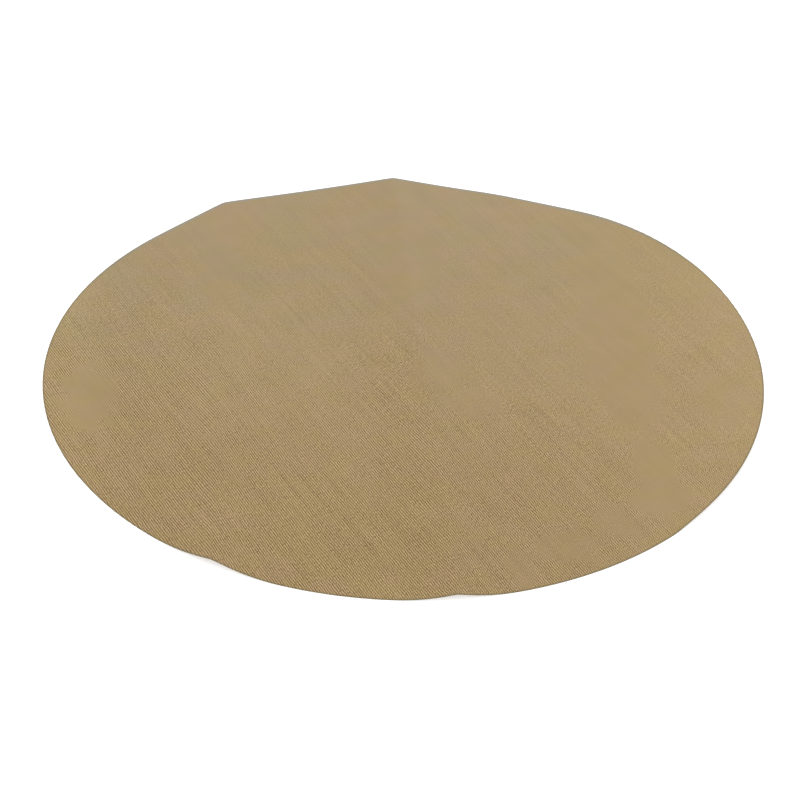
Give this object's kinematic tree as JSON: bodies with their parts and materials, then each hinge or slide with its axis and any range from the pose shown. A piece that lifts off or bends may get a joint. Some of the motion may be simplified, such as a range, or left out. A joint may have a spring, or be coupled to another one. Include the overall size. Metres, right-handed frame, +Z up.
{
  "type": "baking mat",
  "caption": "Round thin non-stick baking mat of coated woven glass cloth, with the creases of a mat stored folded in half and in half again.",
  "frame": {"origin": "centre of the round sheet, on the surface that it lies on", "axes": "+X to the right across the creases, +Y along the middle crease away from the viewer, +Z up"},
  "size_m": [0.2, 0.2, 0.0042],
  "materials": {
    "coating": "satin, slightly translucent non-stick coating that shows the weave",
    "glass_cloth": "plain-woven glass yarn, soaked with the coating"
  },
  "bodies": {
    "left_flap": {"left_flap_bottom_coating": "coating", "left_flap_glass_cloth": "glass_cloth", "left_flap_top_coating": "coating"},
    "left_panel": {"left_panel_bottom_coating": "coating", "left_panel_glass_cloth": "glass_cloth", "left_panel_top_coating": "coating"},
    "right_panel": {"right_panel_bottom_coating": "coating", "right_panel_glass_cloth": "glass_cloth", "right_panel_top_coating": "coating"},
    "right_flap": {"right_flap_bottom_coating": "coating", "right_flap_glass_cloth": "glass_cloth", "right_flap_top_coating": "coating"}
  },
  "joints": [
    {"name": "left_crease_fold", "type": "hinge", "parent": "left_flap", "child": "left_panel", "pos_m": [-0.0517, 0, 0.00213], "axis": [-0.041, -0.9992, -0.0037], "range_deg": [0, 90]},
    {"name": "middle_crease_fold", "type": "hinge", "parent": "left_panel", "child": "right_panel", "pos_m": [0.005, 0, 0.00222], "axis": [0, -1, -0.0058], "range_deg": [0, 170]},
    {"name": "right_crease_fold", "type": "hinge", "parent": "right_panel", "child": "right_flap", "pos_m": [0.0617, 0, 0.00062], "axis": [0.041, -0.9991, -0.0058], "range_deg": [-90, 0]}
  ],
  "couplings": [
    {"joint": "right_crease_fold", "follows": "left_crease_fold", "ratio": -1}
  ]
}
